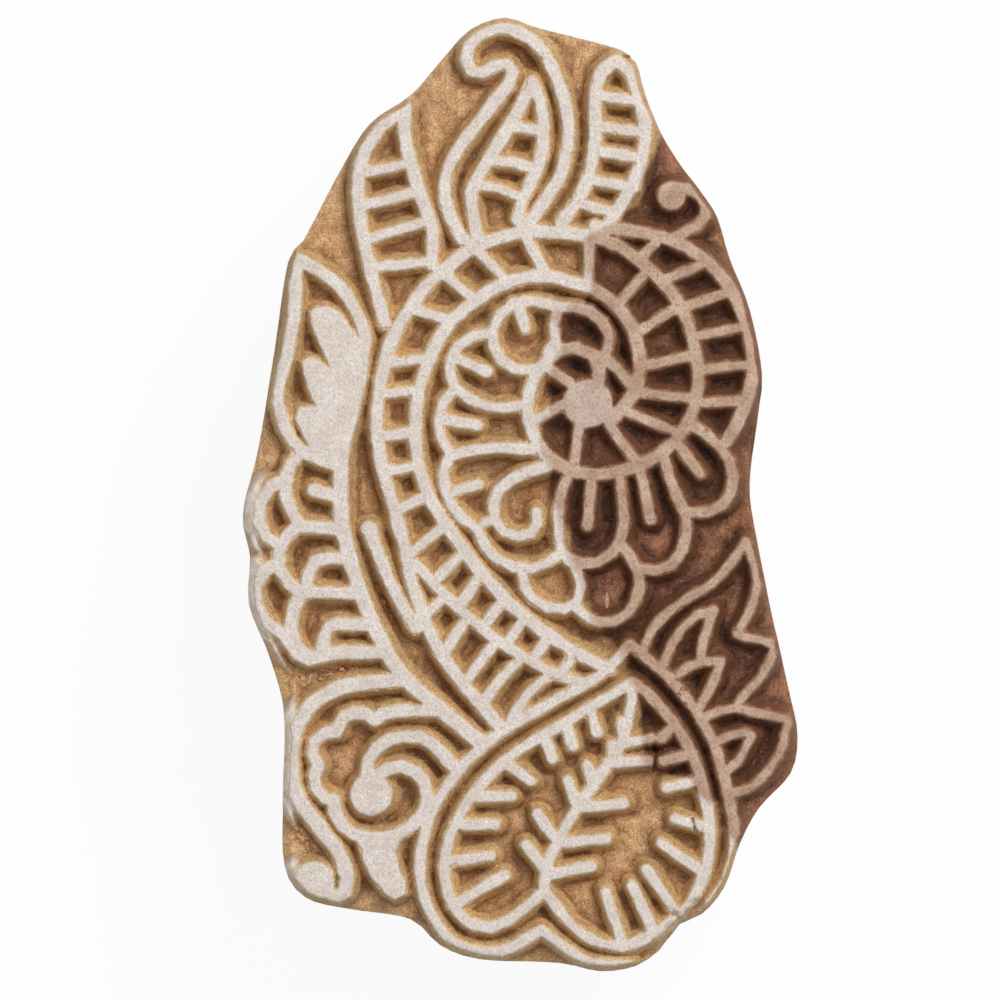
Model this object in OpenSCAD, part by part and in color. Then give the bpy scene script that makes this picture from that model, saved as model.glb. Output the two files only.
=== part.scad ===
// Hand-carved wooden block for printing cloth: a thick piece of two-tone wood with a floral design
// standing in relief on its face, a white tracing coat on the printing lines, and a nailed-on handle.
// The face looks up (+Z), the design's top points along +Y, and the part lies on its handle at z = 0.

/* [Block] */
// Length of the block, up the design
block_l = 95.6; // [88:0.2:140]
// Width of the block, across the design
block_w = 55.6; // [48:0.2:80]
// Thickness of the wood behind the carving
block_t = 18; // [13:0.5:30]

/* [Carving] */
// Depth of the carved ground below the printing lines
carve_d = 2.5; // [1.5:0.25:6]
// Width of the rails, leaves and curls
line_w = 1.4; // [1.1:0.05:1.7]
// Width of the stem that carries the feather
stem_w = 1.6; // [1.2:0.05:1.9]
// Width of the lines of the heart and the flower
petal_w = 1.2; // [0.9:0.05:1.5]
// Width of the lines of the flame leaves
flame_w = 1; // [0.8:0.05:1.3]
// Width of the cross bars in the ladders and bands
bar_w = 1.15; // [0.8:0.05:1.4]
// Width of the free ticks, veins and stamens
tick_w = 1.2; // [0.9:0.05:1.5]
// Inset of the printing lines from the edge of the block
rim = 0.5; // [0.3:0.1:1]
// Narrowest slit that the gouge can cut
gouge_w = 0.2; // [0.1:0.05:0.4]

/* [Tracing coat] */
// Thickness of the white coat on the printing lines
coat_t = 0.2; // [0.1:0.05:0.5]

/* [Handle] */
// Length of the grip between the two feet
grip_l = 34; // [26:1:40]
// Length of each foot
foot_l = 14; // [13:0.5:17]
// Height of each foot above the back of the block
foot_h = 7; // [5:0.5:9]
// Width of the handle
handle_w = 24; // [20:0.5:28]
// Height of the handle above the back of the block
handle_h = 22; // [18:0.5:30]
// Radius of the hollow where a foot meets the grip
cove_r = 5; // [2:0.5:7]
// Depth of the finger groove along each side of the grip
groove_d = 3; // [1:0.25:4]
// Height of the lip on either side of a finger groove
groove_lip = 2.5; // [1.5:0.25:3.5]
// Bevel along the edges of the grip
grip_bevel = 1.5; // [0.5:0.25:2]
// Depth of the housing that the handle sits in
seat_d = 2; // [1:0.25:4]
// Gap between the handle and the walls of its housing
seat_gap = 0.15; // [0.05:0.05:0.3]
// Place of the handle's middle up the block
handle_y = -3; // [-6:0.5:3]

/* [Nails] */
// Diameter of the nail shank
nail_d = 2.2; // [1.6:0.1:3]
// Length of the nail under its head
nail_l = 18; // [14:0.5:20]
// Length of the nail's point
nail_tip = 3; // [1.5:0.25:4]
// Diameter of the nail head
nail_head_d = 4.6; // [3.6:0.1:6]
// Thickness of the nail head
nail_head_t = 0.9; // [0.6:0.1:1.5]
// Distance between the two nails of a foot
nail_pitch = 12; // [9:0.5:13]
// Gap round a nail in its hole
nail_gap = 0.05; // [0.03:0.01:0.1]

/* [Hidden] */
$fn = 48;

// Length of one straight piece of a smooth curve
curve_step = 1.3;
// Sides of a round line end
cap_sides = 16;
// Extra length of a cutting solid past the face that it cuts
past = 1;

// Heights, from the rest face of the handle up
step_z = handle_h - foot_h;
back_z = handle_h;
seat_z = back_z + seat_d;
ground_z = back_z + block_t;
face_z = ground_z + carve_d;

// Handle and nail places worked out from the driving sizes
handle_l = grip_l + 2 * foot_l;
nail_y = handle_l / 2 - (foot_l - cove_r) / 2;
nail_spots = [for (x = [-1, 1], y = [-1, 1]) [x * nail_pitch / 2, handle_y + y * nail_y]];
hole_d = nail_d + 2 * nail_gap;
groove_h = step_z - 2 * groove_lip;
groove_r = (groove_h * groove_h / 4 + groove_d * groove_d) / (2 * groove_d);

// Place on a smooth curve between b and c, with neighbours a and d, for t from 0 to 1
function smooth(a, b, c, d, t) =
    b + (c - a) * t / 2
    + (2 * a - 5 * b + 4 * c - d) * t * t / 2
    + (3 * b - a - 3 * c + d) * t * t * t / 2;

// Number of straight pieces between two points of a curve
function pieces(b, c) = max(1, round(norm(c - b) / curve_step));

// Smooth open curve through the points
function curve(p) = let (m = len(p) - 1)
    m == 1 ? p :
    [for (i = [0 : m - 1])
        let (n = pieces(p[i], p[i + 1]))
        for (k = [0 : n - 1])
            smooth(p[max(i - 1, 0)], p[i], p[i + 1], p[min(i + 2, m)], k / n),
     p[m]];

// Smooth closed curve through the points
function ring(p) = let (m = len(p))
    [for (i = [0 : m - 1])
        let (n = pieces(p[i], p[(i + 1) % m]))
        for (k = [0 : n - 1])
            smooth(p[(i + m - 1) % m], p[i], p[(i + 1) % m], p[(i + 2) % m], k / n)];

// Edge of the block on the drawing, clockwise from the top, in millimetres
edge = ring([
    [-1.5, 47.6], [1, 46.8], [5, 45.8], [9.5, 44.6], [11.5, 43.3], [12.5, 40], [14, 36.3], [16, 33],
    [18, 30.3], [19.8, 27.5], [21, 23.5], [23, 18.3], [24.2, 12], [23.8, 7.5], [23, 1], [23.6, -4],
    [25.2, -12], [27, -20], [27.8, -24.3], [27.1, -28], [24, -31.4], [22, -35], [20.5, -39.3],
    [18.2, -42.1], [16, -43.2], [14, -45.7], [11.5, -47.3], [8, -47.8], [4, -47], [-4, -46.6], [-8, -45.2],
    [-11, -42.6], [-17, -41.6], [-21.5, -40.4], [-23.6, -37], [-23.7, -30], [-23.6, -22], [-25.2, -16],
    [-27.1, -11], [-27, -6.5], [-27.7, -2], [-26.2, 4.5], [-24.7, 13.5], [-23.2, 23.2], [-21.7, 25.3],
    [-18, 32.3], [-15, 37], [-11, 39.8], [-8, 43.2], [-5, 46.4]]);

// Size and middle of the drawing, which is fitted to the length and width of the block
edge_low = [min([for (p = edge) p.x]), min([for (p = edge) p.y])];
edge_high = [max([for (p = edge) p.x]), max([for (p = edge) p.y])];
edge_mid = (edge_low + edge_high) / 2;
fit = [block_w / (edge_high.x - edge_low.x), block_l / (edge_high.y - edge_low.y)];
function placed(path) = [for (p = path) [(p.x - edge_mid.x) * fit.x, (p.y - edge_mid.y) * fit.y]];

// Direction square to a path at its point i
function square_to(path, i) = let (
    ahead = path[min(i + 1, len(path) - 1)] - path[max(i - 1, 0)],
    d = ahead / norm(ahead)
) [-d.y, d.x];

// Printing line of width w along a smooth curve, with round ends
module line(points, w = line_w) {
    path = placed(curve(points));
    n = len(path) - 1;
    polygon(concat(
        [for (i = [0 : n]) path[i] + square_to(path, i) * w / 2],
        [for (i = [n : -1 : 0]) path[i] - square_to(path, i) * w / 2]));
    for (end = [path[0], path[n]]) translate(end) circle(d = w, $fn = cap_sides);
}

// Several lines of one width
module lines(paths, w) {
    for (p = paths) line(p, w);
}

// Round dot of the design
module dot(p, r) {
    translate(placed([p])[0]) circle(r);
}

// Solid leaf whose edge is made of smooth curves that meet in corners
module leaf(curves) {
    polygon(placed([for (c = curves) each curve(c)]));
}

// Teardrop at the top, with a curled tip and a ladder leaf inside
module teardrop() {
    line([[-5.4, 43.2], [-5.2, 44.5], [-4.2, 45.7], [-2.4, 46.4], [-0.4, 46.1], [1.1, 45.3], [2.4, 43.9],
        [4.1, 40], [4.85, 36], [4.1, 32], [3.1, 30.2], [0.9, 27]]);
    line([[-5.4, 43.2], [-4.9, 42.1], [-3.8, 41.9], [-2.6, 42.6], [-1.4, 42.9], [-0.8, 42], [-1.2, 40.8],
        [-3.6, 37.7], [-6.3, 34.2], [-7.6, 30.8], [-6.9, 27.4], [-5.8, 25.4]]);
    line([[1.2, 41], [-0.2, 38.2], [-2, 35.2], [-4.5, 31], [-4.9, 29], [-4.3, 25.3]]);
    line([[1.2, 41], [2, 39], [2.3, 36], [1.9, 33], [0.1, 29], [-0.3, 27.3]]);
    lines([[[-1.3, 36.6], [2.3, 36.1]], [[-3.4, 33.1], [-0.8, 33], [1.7, 32.2]],
        [[-4.7, 30.7], [-2.2, 30.4], [0.3, 29.4]]], bar_w);
}

// Ladder leaf to the right of the teardrop
module right_leaf() {
    line([[9.7, 43.2], [8, 41.9], [7.4, 39], [7.4, 35], [6.6, 31], [4.9, 28], [4, 27]]);
    line([[9.7, 43.2], [10.9, 42], [12.1, 38.5], [12.45, 36], [11.9, 32.4], [10, 28.7], [9, 27.2]]);
    lines([[[7.6, 39.7], [11.7, 39.1]], [[7.5, 36.6], [12.3, 36]], [[7.3, 34.2], [12.1, 33.4]],
        [[6.8, 31.4], [11.3, 30.4]], [[5.6, 29], [9.6, 27.9]]], bar_w);
}

// Ladder leaf to the left of the teardrop
module left_leaf() {
    line([[-11.4, 38.4], [-13.9, 36.6], [-15.9, 33], [-16.2, 29], [-15.6, 25], [-14.65, 21], [-13.6, 17]]);
    line([[-11.4, 38.4], [-11.6, 36], [-10.7, 32], [-9.4, 28], [-8.7, 26], [-8.9, 22.8]]);
    lines([[[-15.7, 32], [-11.6, 32.75]], [[-15.8, 28.7], [-10.5, 30]], [[-15.5, 25.2], [-9.5, 27.1]],
        [[-14.9, 22.5], [-9, 23.1]]], bar_w);
}

// Small curl at the right shoulder of the scroll
module small_curl() {
    dot([15.1, 29.7], 1.45);
    line([[15.3, 30.5], [16.7, 30.3], [17.9, 29.8], [18.5, 28.7], [18.4, 27.6], [17.5, 26.6],
        [15, 25.4]], petal_w);
}

// Ladder scroll that rises from the heart, turns over and winds into the eye
module scroll() {
    // Inner rail, from the heart to the eye
    line([[8.9, -17.6], [5, -15.6], [1.1, -12.9], [-2.3, -9.8], [-5.5, -5.9], [-8.2, -2], [-10, 2],
        [-10.5, 6.8], [-9.8, 11.6], [-7.5, 16.4], [-4.5, 19.2], [-1.2, 21.1], [2.5, 21.6], [7.2, 20.4],
        [9.3, 18.9], [10.8, 17.2], [11.6, 15.2], [11.9, 12.4], [11.2, 9.7], [9.2, 7.4]]);
    // Outer rail, which goes on as the middle rail of the wound part
    line([[-2, -23.3], [-5.2, -19.7], [-8.3, -15.5], [-10.6, -9.7], [-11.7, -5], [-13.1, 0], [-14.1, 4],
        [-14.35, 8], [-13.4, 13.6], [-11.5, 17.8], [-8.6, 21.4], [-4.6, 24.5], [-0.3, 25.9], [3.8, 26],
        [8.5, 25.2], [12.2, 22.9], [15.6, 19.3], [17.4, 14.5], [17.6, 9.6], [15.5, 5.3], [11.5, 2.6],
        [6.5, 1.9], [2.8, 3.6], [0.8, 7.3], [1.3, 11.3], [3.8, 14.2], [5.6, 14.5], [7.2, 13.8], [7.9, 12.4],
        [7.8, 11]]);
    // Outermost rail
    line([[7.5, 26.6], [11.5, 26.1], [15.2, 25.2], [18.8, 22.9], [21.6, 19.2], [23, 14.8], [22.9, 10.3],
        [21.2, 6.1], [20.3, 4.9]]);
    dot([6.7, 8.9], 2.5);
    // Rungs of the rising ladder
    lines([[[0.4, 25.8], [2.5, 22]], [[-4.5, 24.4], [-1.6, 21.4]], [[-7.7, 21.9], [-5.1, 19.7]],
        [[-10.9, 18.4], [-7.6, 17.4]], [[-13.3, 12.9], [-9.6, 13.4]], [[-14, 9.8], [-10.3, 10.3]],
        [[-14.2, 5.6], [-10.6, 6.1]], [[-13.6, 2], [-10.2, 2.8]], [[-12.5, -1.8], [-9.4, -0.3]],
        [[-11, -6], [-7.4, -3.2]], [[-8.7, -8.9], [-5.6, -5.9]]], bar_w);
    // Bars between the inner and the middle rail
    lines([[[6.9, 25.3], [6.8, 21.2]], [[12.5, 22], [10, 19.1]], [[15.8, 18.6], [11.8, 16.1]],
        [[17.4, 13.8], [12, 12.6]], [[17.4, 9.4], [11.6, 10]], [[16, 5.9], [10.8, 8]],
        [[11.7, 3], [8.8, 6.8]], [[5.3, 2.4], [5.8, 6.6]], [[1, 7], [4.4, 8.9]],
        [[2.3, 12.8], [5, 10.9]]], bar_w);
    // Bars between the middle and the outermost rail
    lines([[[13.5, 24.9], [12.1, 23.6]], [[17.9, 22.7], [14.4, 21.3]], [[20.4, 19.9], [16.4, 18.6]],
        [[22.2, 16.6], [17.4, 15.6]], [[22.7, 12.8], [17.9, 12.3]], [[22.3, 9.2], [17.6, 9]]], bar_w);
}

// Row of long cells beside the foot of the scroll
module fan() {
    line([[-10.4, -7.2], [-7.2, -10.6], [-4.6, -12.9], [-2, -14.9], [0.7, -16.6], [3.5, -18.1],
        [6, -19]], petal_w);
    lines([[[-4, -8.1], [-6.1, -11.5]], [[-1.5, -10.4], [-3.7, -13.4]], [[0.5, -12.3], [-1.4, -15.1]],
        [[3, -14.2], [1.1, -16.8]], [[5.5, -15.8], [3.9, -18.2]]], bar_w);
    lines([[[-7.6, -10.3], [-9.6, -12.4]], [[-5.3, -12.5], [-7.7, -16]], [[-2.5, -14.9], [-5.6, -19]],
        [[0.1, -16.6], [-1.8, -18.3], [-3.9, -21.2]], [[2.9, -18.2], [0.8, -20], [-0.9, -22.6]]], bar_w);
}

// Petals of the flower round the eye of the scroll, with their stamens
module flower() {
    lines([
        [[3.8, 18.6], [1, 19.2], [-0.7, 18.9], [-2.1, 17.7], [-2.8, 16.2], [-2.7, 14.7], [-1.9, 13.3],
            [-0.6, 12.4], [1.4, 12.3]],
        [[3.8, 18.5], [3.35, 16.8], [3.45, 15.2], [2.7, 14]],
        [[3.8, 18.5], [5.4, 18.5], [7, 18.1], [8.2, 17.1], [8.8, 15.8], [8.7, 14.5], [8.3, 13.5]],
        [[8, 13.7], [9.6, 12.5], [11, 10.9]],
        [[-2.8, 16], [-4.8, 15.6], [-6.2, 14.7], [-7, 13.2], [-7, 11.8], [-6.6, 10.6], [-5, 9.4], [-3.3, 8.6],
            [-1.5, 8.5], [0.8, 8.8]],
        [[-6.6, 10.4], [-7.8, 8.9], [-8.2, 7.2], [-8, 5.6], [-7.1, 4]],
        [[-7.1, 3.7], [-5.2, 4.1], [-3, 4.45], [1.6, 4.4]],
        [[-7.1, 3.8], [-7.7, 2], [-7.5, 0.4], [-6.9, -1.2], [-5.7, -2.6], [-4.3, -3.6]],
        [[3.2, 2.8], [0.8, 2.1], [-0.8, 1.4], [-2.1, 0.4], [-2.7, -1], [-2.6, -2.6], [-1.7, -3.9],
            [-0.2, -4.4], [1.1, -4], [1.7, -3], [1.6, -1.9]],
        [[-2.6, -2.6], [-4.3, -3.6], [-3.5, -5.3], [-2.3, -6.6], [-0.7, -7.4], [1, -7.6], [2.6, -7],
            [3.8, -6.2]],
        [[4.7, 1.6], [4.1, 0], [3.8, -2], [3.8, -4], [4, -5.8], [4.9, -6.7]],
        [[0.1, -7.6], [0.4, -9.3], [1.3, -10.6], [2.8, -11.4], [4.4, -11.6], [5.6, -10.8], [6, -9.3],
            [5.4, -7.2], [4.9, -6.7]],
        [[9.9, 1.9], [10.1, -0.5], [10.3, -2.8], [9.9, -4.9], [9.2, -6], [7.8, -6.9], [6.3, -7], [4.9, -6.7]],
        [[14.2, 4], [14.9, 1.5], [15.6, -0.3], [16.4, -2], [16.5, -4], [16.1, -5.8], [15.1, -7.2],
            [13.6, -7.7], [11.8, -7.6]],
        [[16.5, 7.1], [18.3, 6.1], [19.7, 4.9], [20.8, 3.3], [21.3, 1.6], [21, 0], [20.1, -1.2], [18.8, -1.9],
            [16.8, -1.9]],
        [[10, -5], [11, -6.4], [11.7, -7.8], [11.9, -9.2], [11.5, -10.8], [10.7, -12], [9.4, -12.8],
            [8, -12.9], [6.6, -12.3], [5.3, -11.2]]], petal_w);
    lines([[[-0.3, 18.6], [0.5, 16.4]], [[-6.5, 13.5], [-3.4, 12.1]], [[-7.6, 7.3], [-4.4, 6.75]],
        [[-7, 0], [-4.3, 0.9]], [[7.1, 1.7], [6.7, -3.3]], [[12, 2.2], [13, -2.6]],
        [[15.8, 4.8], [17.9, 1.9]]], tick_w);
}

// Feather with a flame-edged leaf inside, and the lone shoot beside its stem
module feather() {
    line([[-22.5, 23.3], [-22.5, 21], [-22.5, 18.5], [-23.3, 13.5], [-24.1, 11], [-24.2, 9], [-23, 5.5],
        [-21.6, 3.9]]);
    line([[-22.5, 23.3], [-21.2, 22.9], [-18, 20.5], [-16, 17.2], [-15.5, 15.2]]);
    leaf([
        [[-17.2, 1.5], [-17, 4.5], [-16, 8.3], [-15.5, 10.5], [-14.8, 15.2]],
        [[-16.3, 15.7], [-17.2, 17.2], [-18.2, 18.3], [-19.5, 18.8], [-20.6, 18.6], [-21.1, 18.2]],
        [[-21.1, 18.2], [-20.9, 16.8], [-20.2, 15], [-19.1, 12.6]],
        [[-19.1, 12.6], [-20.2, 13.4], [-21.3, 13.7], [-22, 13.2]],
        [[-22, 13.2], [-21.8, 12], [-21.3, 10.4], [-20.6, 8.8]],
        [[-20.6, 8.8], [-21.4, 8.7], [-22.2, 8.5]],
        [[-22.2, 8.5], [-22.5, 7.4], [-22, 6.2], [-21.2, 4.6]],
        [[-21.7, 3.3], [-18.7, 2.1]]]);
    line([[-17.9, 2.5], [-18, -1], [-17.6, -4.4], [-16, -9.9], [-13.6, -15.4], [-12.2, -17.6], [-10.6, -19.4],
        [-6.6, -22.8], [-4.2, -24.8]], stem_w);
    line([[-15.1, -3.6], [-13, -9], [-10.4, -13.6]]);
    dot([-15.1, -3.6], 0.85);
}

// Scallops on the left of the stem
module scallops() {
    lines([
        [[-21.8, 4.2], [-22.9, 2.9], [-23.5, 1.2], [-23.4, -0.5], [-22.8, -2], [-22, -3.2]],
        [[-23.3, 1.3], [-24.9, 0.6], [-26, -1], [-26.1, -2.8], [-25.4, -4.4], [-24, -5.2]],
        [[-22.3, -3.4], [-20, -3.4], [-17.8, -3.7]],
        [[-22.3, -3.3], [-23.5, -4.5], [-24.2, -6], [-24, -7.6], [-23.1, -9], [-21.9, -10]],
        [[-21.4, -9.9], [-21.2, -8], [-20.5, -6.9], [-19.3, -6.5], [-17.2, -6.5]],
        [[-22.2, -9.9], [-16.2, -10]],
        [[-24, -6.8], [-25.5, -7.7], [-26.5, -9.3], [-26.4, -11.2], [-25.5, -12.8], [-24, -13.9],
            [-22.7, -14.6]],
        [[-22, -10.2], [-22.7, -11.7], [-23, -13.5], [-22.4, -15.2], [-21.2, -16.4]],
        [[-19.8, -15.9], [-19.6, -14.3], [-19.1, -13.4], [-18.2, -13.1], [-14.9, -13.1]],
        [[-23.4, -14.6], [-22.4, -16], [-21.2, -16.6], [-19.5, -16.2], [-18, -15.9], [-13.4, -15.9]],
        [[-18, -0.5], [-20.6, 0.25]]], line_w);
}

// Curled flower at the lower left, with its scalloped frill and the drop below it
module curled_flower() {
    line([[-11.8, -18.6], [-14, -18.8], [-16.5, -19.1], [-18.8, -19.8], [-20.8, -21.1], [-22.1, -23],
        [-22.8, -25.2], [-22.9, -27.5], [-22.5, -29.6], [-21.6, -31.4], [-18.8, -34.9], [-17.8, -36.6],
        [-17.3, -38.3], [-17.5, -39.8], [-18.6, -40.3]], stem_w);
    dot([-20.6, -38.8], 2.1);
    lines([
        [[-8.4, -21.7], [-12.5, -21.8], [-13.8, -22.1], [-14.6, -22.7]],
        [[-14.6, -22.7], [-15.4, -22.1], [-16.6, -21.9], [-17.6, -22.3], [-18.1, -23.2], [-18.4, -23.8]],
        [[-18.4, -23.7], [-19.6, -24], [-20.6, -24.8], [-20.8, -26], [-20.2, -27.2]],
        [[-20.2, -27.2], [-20.6, -28.3], [-20.4, -29.5], [-19.6, -30.4], [-18.6, -30.7]],
        [[-18.7, -30.7], [-18.5, -31.9], [-17.8, -33.2], [-16.6, -34.1], [-15, -34.5], [-13, -34.3],
            [-11.2, -33.5], [-9.6, -32]],
        [[-6.4, -27.6], [-7.6, -26.3], [-8.7, -25.1], [-10, -24.4], [-11.5, -24.3], [-13, -24.6],
            [-14.3, -25.4], [-15.2, -26.7], [-15.4, -28.4]],
        [[-14.6, -28.4], [-13.2, -27.5], [-11.8, -27.3], [-10.5, -27.8], [-9.6, -28.9], [-9.3, -30.2],
            [-9.5, -31.6], [-10.2, -32.8]]], line_w);
    dot([-14.9, -30.1], 2.15);
    leaf([[[-16.6, -34.4], [-15.9, -36.5], [-14.9, -38.5], [-13.6, -40], [-12.5, -40.6]],
        [[-12.5, -40.6], [-11.4, -40], [-11.5, -38.7], [-12.1, -37.3], [-12.4, -35.8], [-11.8, -34.2]]]);
}

// Double-lined heart at the lower right, with ticks along its inner line and a veined sprig
module heart() {
    lines([
        [[10.9, -15.1], [9.3, -17], [8, -18.2], [4, -20.4], [0, -22.7], [-3.4, -25], [-6.4, -28],
            [-8.8, -31.8], [-10, -36.3], [-9.6, -40.5], [-7.3, -44.3], [-5.3, -45.5], [-3, -45.8],
            [-0.8, -45.3], [2.1, -43.6]],
        [[2.1, -43.6], [5.4, -46], [7.4, -46.9], [11, -47.2]],
        [[10.9, -15.1], [12.4, -16.3], [15.6, -19.3], [18.5, -23.4], [20.3, -28.2], [21.4, -34.5],
            [20.7, -38.3], [18.6, -41.6], [17.4, -42.6]],
        [[11.2, -18.9], [8, -20.8], [4, -23.2], [0, -25.6], [-3.1, -28.2], [-5.9, -31.7], [-7.5, -36],
            [-7.2, -40], [-6.2, -41.9], [-4.6, -43.2], [-2.9, -43.4], [-1.2, -42.7], [2.4, -39.8]],
        [[2.4, -39.8], [5.4, -43.4], [7.2, -44.6], [9.2, -45.1], [11.2, -45], [14.6, -43.2], [17.3, -40.4],
            [18.7, -36.5], [18.8, -32.5], [17.4, -26.7], [15.3, -23], [12.5, -19.8],
            [11.2, -18.9]]], petal_w);
    // Ticks on the left side, then on the right side
    lines([[[7, -21.6], [7.6, -23.9]], [[4.5, -23], [5.2, -25.2]], [[2.3, -24.2], [3.2, -26.6]],
        [[-1.6, -26.9], [1, -28.7]], [[-4.8, -30.3], [-0.9, -30.25]], [[-6.6, -33.1], [-2.6, -33.1]],
        [[-7.4, -36.9], [-3, -36.1]], [[-6.8, -41.2], [-1.6, -38.2]]], tick_w);
    lines([[[15.3, -23.3], [14, -24.5]], [[17.2, -26], [14.2, -26.8]], [[17.9, -28.6], [14.6, -29.4]],
        [[18.7, -33.4], [15.4, -32.5]], [[18.2, -37.7], [14, -35]], [[15.7, -42.1], [12.6, -37.6]],
        [[13.4, -44], [11.1, -39.2]], [[10.1, -44.7], [8.5, -39.9]]], tick_w);
    // Stem of the sprig, its left and its right twigs
    line([[2.4, -39.6], [2.5, -37.6], [3.6, -35], [5.7, -31.4], [8.3, -27.7], [9.5, -26], [10.6, -23.4],
        [11.3, -19]], petal_w);
    lines([[[2.3, -37.4], [0.5, -35.1]], [[3.6, -34.6], [1.7, -32]], [[5.6, -31], [4.7, -28.7]],
        [[7.3, -29.3], [6.7, -27.3]], [[9.2, -26.4], [9.2, -25.2]],
        [[10.3, -24.7], [10.1, -22.8]]], tick_w);
    lines([[[2.8, -38.1], [7.1, -37.2]], [[3.8, -34.9], [8.6, -34.5]], [[5.8, -31.4], [10.3, -31]],
        [[8.8, -26.9], [12.9, -26.7]], [[10.4, -25], [13.1, -24.5]]], tick_w);
}

// Flame leaves between the heart and the right edge
module flames() {
    lines([
        [[12.3, -15.7], [13.1, -13.7], [15.9, -11], [19.2, -9], [21.5, -6.3], [22.5, -4.8]],
        [[22.5, -4.8], [23.4, -7.2], [23.7, -9], [22.7, -12.2], [21.6, -13.9]],
        [[21.6, -14], [22.6, -14.4], [25.6, -15.1]],
        [[25.6, -15.1], [24.2, -18.1], [21.8, -20.8]],
        [[17.9, -22.7], [19.8, -21.8], [21.5, -21.4], [23.3, -21.9], [26.8, -22.6]],
        [[26.8, -22.6], [25.7, -26.3], [23.1, -29.3], [20.8, -30]],
        [[14.1, -17.4], [15.1, -15.1], [16.2, -13.5], [17.6, -12.2], [19.3, -11.7]],
        [[19.3, -11.7], [18.3, -14.6], [18, -16.6]],
        [[15.2, -18.6], [16.7, -17.4], [18.2, -16.8], [20.1, -16.8]],
        [[20.1, -16.8], [18.7, -20], [17.4, -21.9]],
        [[19.1, -25], [21, -24.2], [22.3, -23.9], [23.1, -24.2]],
        [[23.1, -24.2], [21.7, -26.8], [20.2, -28]]], flame_w);
}

// The whole design on the face
module design() {
    teardrop();
    right_leaf();
    left_leaf();
    small_curl();
    scroll();
    fan();
    flower();
    feather();
    scallops();
    curled_flower();
    heart();
    flames();
}

module block_edge() {
    polygon(placed(edge));
}

// Printing faces: the design inside the rim, without slits too narrow to cut
module lands() {
    offset(delta = -gouge_w / 2) offset(delta = gouge_w / 2)
        intersection() {
            design();
            offset(delta = -rim) block_edge();
        }
}

// Bar-shaped cut that is centred on the handle in x and y
module handle_box(w, l, z, h) {
    translate([-w / 2, handle_y - l / 2, z]) cube([w, l, h]);
}

// One piece of wood: the body, the printing lines standing on its ground, the housing and the nail holes
module carved_block() color("peru")
    difference() {
        union() {
            translate([0, 0, back_z]) linear_extrude(block_t) block_edge();
            translate([0, 0, ground_z]) linear_extrude(carve_d) lands();
        }
        handle_box(handle_w + 2 * seat_gap, handle_l + 2 * seat_gap, back_z - past, seat_d + past);
        for (p = nail_spots)
            translate([p.x, p.y, back_z]) cylinder(h = step_z + nail_l + nail_gap - back_z, d = hole_d);
    }

// White coat on the printing faces, on which the design was traced
module tracing_coat() color("linen")
    translate([0, 0, face_z]) linear_extrude(coat_t) lands();

// Cut that lowers the end of the bar to a foot, with a hollow at the end of the grip
module foot_cut() {
    cut_w = handle_w + 2 * past;
    translate([-cut_w / 2, grip_l / 2, -past]) cube([cut_w, foot_l + past, step_z - cove_r + past]);
    translate([-cut_w / 2, grip_l / 2 + cove_r, -past]) cube([cut_w, foot_l - cove_r + past, step_z + past]);
    translate([-cut_w / 2, grip_l / 2 + cove_r, step_z - cove_r])
        rotate([0, 90, 0]) cylinder(h = cut_w, r = cove_r);
}

// Long bevel cut along an edge of the grip, at distance d from its middle
module bevel_cut(d, l) {
    side = grip_bevel * sqrt(2);
    translate([d, 0, 0]) rotate([0, 45, 0]) cube([side, l, side], center = true);
}

// Wooden handle: a bar with a finger groove along each side of its grip and a nailed foot at each end
module back_handle() color("saddlebrown")
    difference() {
        handle_box(handle_w, handle_l, 0, seat_z);
        translate([0, handle_y, 0]) {
            for (side = [0, 1]) {
                mirror([0, side, 0]) foot_cut();
                mirror([side, 0, 0])
                    translate([handle_w / 2 + groove_r - groove_d, handle_l / 2 + past, step_z / 2])
                        rotate([90, 0, 0]) cylinder(h = handle_l + 2 * past, r = groove_r);
                mirror([side, 0, 0]) bevel_cut(handle_w / 2, handle_l + 2 * past);
                mirror([0, side, 0]) rotate([0, 0, 90]) bevel_cut(grip_l / 2, handle_w + 2 * past);
            }
        }
        for (p = nail_spots)
            translate([p.x, p.y, step_z - past]) cylinder(h = foot_h + seat_d + 2 * past, d = hole_d);
    }

// One nail, with its head under the foot and its point up
module nail() {
    shank_l = nail_l - nail_tip;
    translate([0, 0, -nail_head_t]) cylinder(h = nail_head_t, d = nail_head_d);
    cylinder(h = shank_l, d = nail_d);
    translate([0, 0, shank_l]) cylinder(h = nail_tip, d1 = nail_d, d2 = nail_d / 8);
}

// Four nails that hold the handle to the block
module handle_nails() color("dimgray")
    for (p = nail_spots) translate([p.x, p.y, step_z]) nail();

carved_block();
tracing_coat();
back_handle();
handle_nails();
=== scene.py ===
"""A carved wooden block for printing textiles, lying face up on its handle."""

import math

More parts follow.
